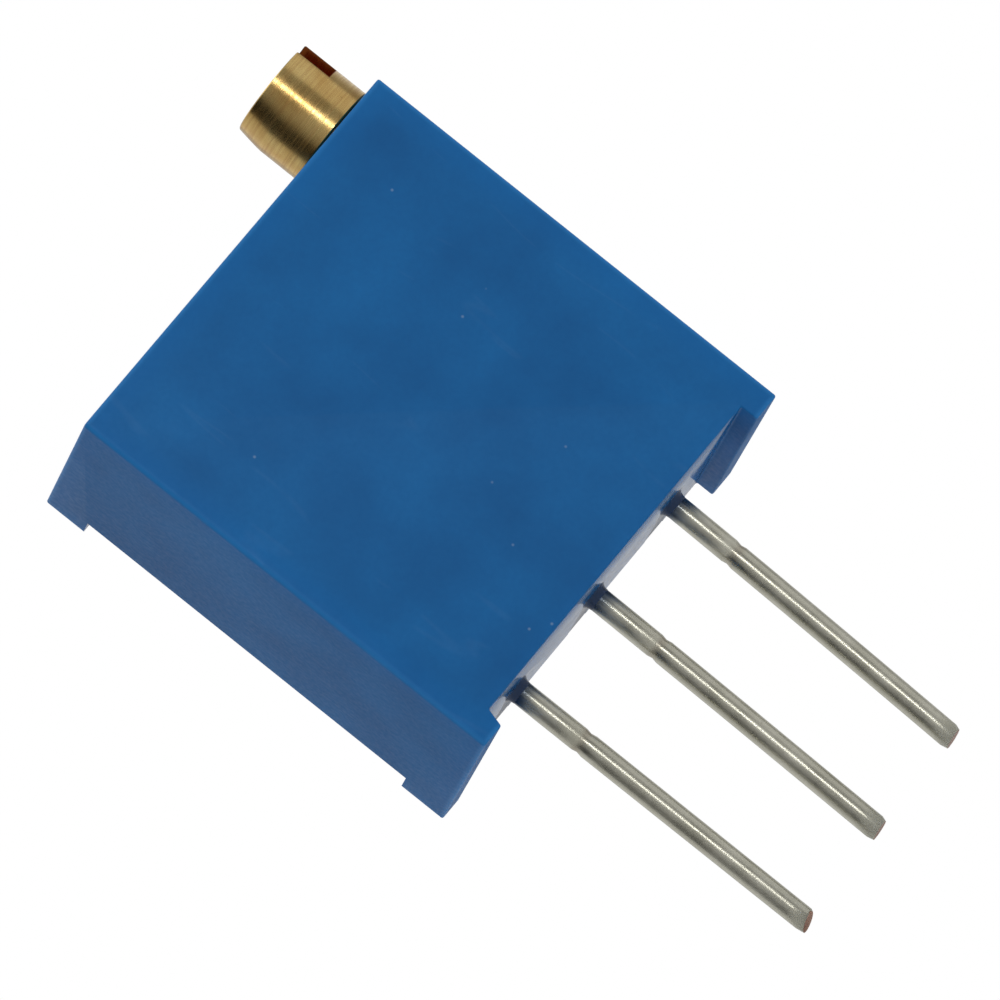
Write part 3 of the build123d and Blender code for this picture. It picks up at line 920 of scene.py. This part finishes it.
# %% Finishes of the inner pieces
finishes = {
    "housing": housing_finish,
    "brass": brass_finish,
    "tinned_wire": wire_finish,
    "epoxy": epoxy_finish,
    "seal_rubber": grained("black_rubber", (20, 20, 20), (34, 34, 34), (0.50, 0.65), 5000.0, spots=(70, 70, 68)),
    "retainer_steel": grained(
        "blanked_steel", (150, 150, 148), (196, 196, 192), (0.25, 0.40), 9000.0, 1.0, lines=(0.05, 1.0, 1.0)
    ),
    "wheel_plastic": grained("natural_moulding", (216, 210, 192), (232, 228, 212), (0.42, 0.55), 3500.0, spots=(190, 180, 160)),
    "wiper_metal": grained(
        "spring_strip", (196, 160, 104), (226, 192, 136), (0.22, 0.36), 9000.0, 1.0, lines=(0.05, 1.0, 1.0)
    ),
    "ceramic": grained("fired_alumina", (222, 221, 214), (238, 237, 231), (0.55, 0.70), 6000.0, spots=(200, 198, 190)),
    "track_ink": grained("resistive_ink", (28, 28, 30), (50, 50, 52), (0.45, 0.60), 7000.0, spots=(84, 84, 86)),
    "contact_ink": grained("silver_ink", (176, 174, 168), (206, 204, 198), (0.34, 0.50), 9000.0, 1.0),
    "solder": grained("bright_solder", (176, 176, 174), (214, 214, 212), (0.14, 0.30), 2600.0, 1.0, height=0.000006),
}
print(len(finishes), "finishes")

# %% Give every piece its finish
slot_of = {part["node"]: part["material_slot"] for part in frame["record"]["subparts"]}
own_pieces = {
    "moulded_housing": "housing",
    "brass_screw": "brass",
    "left_wire": "tinned_wire",
    "middle_wire": "tinned_wire",
    "right_wire": "tinned_wire",
    "potted_back": "epoxy",
}
for name, node in frame["nodes"].items():
    for place in node.material_slots:
        place.material = finishes[slot_of[name]]
for name, key in own_pieces.items():
    piece = bpy.data.objects[name]
    piece.data.materials.clear()
    piece.data.materials.append(finishes[key])
print("finished", len(frame["nodes"]), "nodes and", len(own_pieces), "new pieces")

# %% [markdown]
# ## Studio
# The part stands on a plain pale floor. A view from below has to look up through that floor, so
# its material is clear from behind. The room is soft and pale, with one tall soft light beside
# the camera that draws the bright streak on round metal, and a darker stretch of wall to the
# left of it that draws the dark streak.

# %% Floor
deselect_all()
bpy.ops.mesh.primitive_plane_add(size=1.2, location=(0, 0, cad_box[0][2] - 0.00005))
floor = settle(bpy.context.object, "floor")
floor_finish = bpy.data.materials.new("pale_floor")
floor_finish.use_nodes = True
floor_finish.node_tree.nodes.clear()
t = Tree(floor_finish.node_tree)
paper = t.mix(t.group(grain, Scale=60.0, Detail=3.0, Contrast=1.0)["Mask"], colour(240, 240, 239), colour(246, 246, 245))
matt = t.node("ShaderNodeBsdfPrincipled", {"Base Color": paper, "Roughness": 0.8})
clear = t.node("ShaderNodeBsdfTransparent")
behind = t.node("ShaderNodeNewGeometry").outputs["Backfacing"]
either = t.node("ShaderNodeMixShader", {0: behind, 1: matt.outputs[0], 2: clear.outputs[0]})
t.node("ShaderNodeOutputMaterial", {"Surface": either.outputs[0]})
floor.data.materials.append(floor_finish)

# %% Camera
camera_data = bpy.data.cameras.new("camera")
camera_data.lens = 731.6
camera_data.sensor_width = 36
camera_data.clip_start = 0.01
camera = bpy.data.objects.new("camera", camera_data)
bpy.context.collection.objects.link(camera)
camera.location = Vector((-140.147, -373.694, -21.756)) * mm
camera.rotation_euler = [math.radians(a) for a in (95.6767, 51.2395, -16.1706)]
bpy.context.scene.camera = camera
camera_side = math.atan2(camera.location.y, camera.location.x)
print("camera azimuth", round(math.degrees(camera_side) + 90, 1), "degrees")

# %% Room: what the part reflects
room = bpy.data.worlds.new("room")
bpy.context.scene.world = room
room.use_nodes = True
room.node_tree.nodes.clear()
t = Tree(room.node_tree)
x, y, z = t.node("ShaderNodeSeparateXYZ", {"Vector": t.node("ShaderNodeTexCoord").outputs["Generated"]}).outputs
# the angle round the room from the camera, to the right of it positive
angle = t.math("SUBTRACT", t.math("ARCTAN2", y, x), camera_side)
angle = t.math("DEGREES", t.math("WRAP", angle, math.pi))
angle.node.inputs[0].links[0].from_node.inputs[2].default_value = -math.pi
walls = t.node("ShaderNodeValToRGB", {"Fac": t.span(angle, -180.0, 180.0, smooth_step=False)})
# each pair is an angle in degrees and the grey of the room there
behind_left = [(-180, 0.60), (-150, 0.60), (-130, 0.44), (-108, 0.30), (-95, 0.26)]
dark_left = [(-80, 0.10), (-66, 0.03), (-44, 0.03), (-28, 0.22), (-12, 0.36)]
right_side = [(10, 0.30), (30, 0.20), (60, 0.26), (120, 0.34), (180, 0.50)]
stops = behind_left + dark_left + right_side
ramp = walls.color_ramp
for turn_angle, level in stops:
    stop = ramp.elements.new((turn_angle + 180) / 360)
    stop.color = (level, level, level, 1)
ramp.elements.remove(ramp.elements[0])
ramp.elements.remove(ramp.elements[-1])
unlit = t.node("ShaderNodeBackground", {"Color": walls.outputs["Color"], "Strength": 1.0})
white = t.node("ShaderNodeBackground", {"Color": (1, 1, 1, 1), "Strength": 1.0})
seen = t.node("ShaderNodeLightPath").outputs["Is Camera Ray"]
either = t.node("ShaderNodeMixShader", {0: seen, 1: unlit.outputs[0], 2: white.outputs[0]})
t.node("ShaderNodeOutputWorld", {"Surface": either.outputs[0]})


# %% Soft lights
def soft_light(name, turn_angle, height_angle, distance, width, height, power):
    """A rectangular soft light, placed by its angles from the camera and aimed at the part."""
    around = camera_side + math.radians(turn_angle)
    up = math.radians(height_angle)
    way = Vector((math.cos(around) * math.cos(up), math.sin(around) * math.cos(up), math.sin(up)))
    target = Vector((0, 0, 2.5 * mm))
    deselect_all()
    bpy.ops.object.light_add(type="AREA", location=target + way * distance)
    lamp = bpy.context.object
    lamp.name = name
    lamp.data.shape = "RECTANGLE"
    lamp.data.size = width
    lamp.data.size_y = height
    lamp.data.energy = power
    lamp.rotation_euler = way.to_track_quat("Z", "Y").to_euler()
    return lamp


soft_light("strip_by_camera", 19, 12, 0.40, 0.036, 0.36, 0.36)
soft_light("broad_right", 80, 25, 0.50, 0.50, 0.50, 0.32)
soft_light("broad_left", -112, 25, 0.50, 0.60, 0.60, 0.40)
soft_light("overhead", 0, 80, 0.50, 0.40, 0.40, 0.5)

# %% Plain colours in the picture
bpy.context.scene.view_settings.view_transform = "Standard"

# %% Sizes of the construction
bpy.context.view_layer.update()
print("construction", [[round(v / mm, 3) for v in corner] for corner in cad_box])
